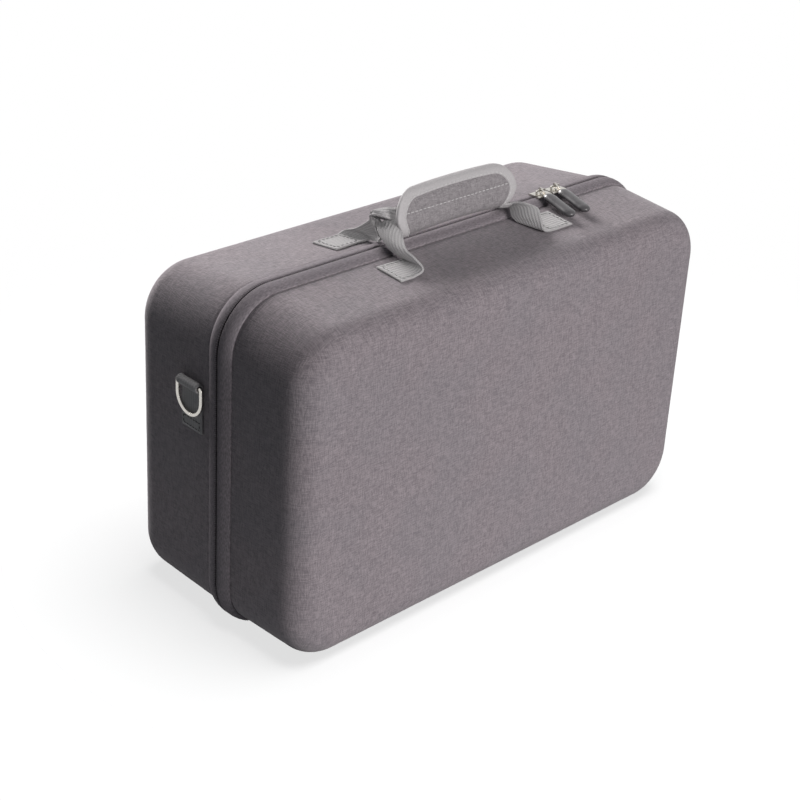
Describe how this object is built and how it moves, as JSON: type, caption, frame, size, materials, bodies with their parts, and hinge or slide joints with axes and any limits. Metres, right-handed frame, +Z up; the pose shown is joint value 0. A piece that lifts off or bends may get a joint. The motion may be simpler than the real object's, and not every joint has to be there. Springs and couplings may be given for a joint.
{
  "type": "console storage case",
  "caption": "Moulded fabric-covered carry case for a games console, with a zip round three sides, a wrapped webbing handle on top, end rings and a lined inside.",
  "frame": {"origin": "middle of the bottom of the standing case", "axes": "+X along the case, +Y from the front face to the rear face, +Z up to the handle"},
  "size_m": [0.475, 0.2, 0.329],
  "materials": {
    "shell_fabric": "mottled woven laminate",
    "zip_tape": "fine woven tape",
    "zip_coil": "nylon coil",
    "lining_tape": "plain woven tape",
    "webbing": "ribbed webbing",
    "ribbon": "smooth ribbon",
    "grip_fabric": "padded woven panel",
    "hook_tape": "hooked pile",
    "loop_tape": "looped pile",
    "nickel": "bright nickel plate",
    "pull_rubber": "smooth moulded rubber",
    "liner": "brushed lining over foam",
    "inner_webbing": "elastic webbing",
    "mesh": "open net",
    "elastic": "ribbed elastic"
  },
  "bodies": {
    "rear": {"rear_shell": "shell_fabric", "rear_zip_tape": "zip_tape", "rear_zip_coil": "zip_coil", "rear_seam_binding": "lining_tape", "hinge_spine": "lining_tape", "handle_strap_rear": "webbing", "grip_wrap": "grip_fabric", "grip_binding": "ribbon", "grip_hook_tape": "hook_tape", "grip_loop_tape": "loop_tape", "ring_tab_left": "webbing", "ring_tab_right": "webbing", "foam_liner": "liner", "retaining_strap_left": "inner_webbing", "retaining_strap_right": "inner_webbing"},
    "lid": {"front_shell": "shell_fabric", "front_zip_tape": "zip_tape", "front_zip_coil": "zip_coil", "front_seam_binding": "lining_tape", "handle_strap_front": "webbing", "lid_pocket_mesh": "mesh", "lid_pocket_hem": "elastic"},
    "slider_left": {"zip_slider_left": "nickel"},
    "slider_right": {"zip_slider_right": "nickel"},
    "pull_left": {"pull_link_left": "nickel", "pull_grip_left": "pull_rubber"},
    "pull_right": {"pull_link_right": "nickel", "pull_grip_right": "pull_rubber"},
    "ring_left": {"d_ring_left": "nickel"},
    "ring_right": {"d_ring_right": "nickel"}
  },
  "joints": [
    {"name": "lid_hinge", "type": "hinge", "parent": "rear", "child": "lid", "pos_m": [0, -0.011, -0.0004], "axis": [1, 0, 0], "range_deg": [0, 180], "deforming": ["hinge_spine", "grip_wrap", "grip_binding", "grip_hook_tape", "grip_loop_tape"]},
    {"name": "slider_left_run", "type": "slide", "parent": "lid", "child": "slider_left", "axis": [1, 0, 0], "range_m": [-0.016, 0]},
    {"name": "slider_right_run", "type": "slide", "parent": "lid", "child": "slider_right", "axis": [1, 0, 0], "range_m": [0, 0.046]},
    {"name": "pull_left_flip", "type": "hinge", "parent": "slider_left", "child": "pull_left", "pos_m": [0.11375, -0.011, 0.289], "axis": [-1, 0, 0], "range_deg": [0, 180]},
    {"name": "pull_right_flip", "type": "hinge", "parent": "slider_right", "child": "pull_right", "pos_m": [0.13225, -0.011, 0.289], "axis": [-1, 0, 0], "range_deg": [0, 180]},
    {"name": "ring_left_swing", "type": "hinge", "parent": "rear", "child": "ring_left", "pos_m": [-0.23316, 0.02216, 0.203], "axis": [0.0421, 0.9991, 0], "range_deg": [0, 170]},
    {"name": "ring_right_swing", "type": "hinge", "parent": "rear", "child": "ring_right", "pos_m": [0.23316, 0.02216, 0.203], "axis": [0.0421, -0.9991, 0], "range_deg": [0, 170]}
  ]
}
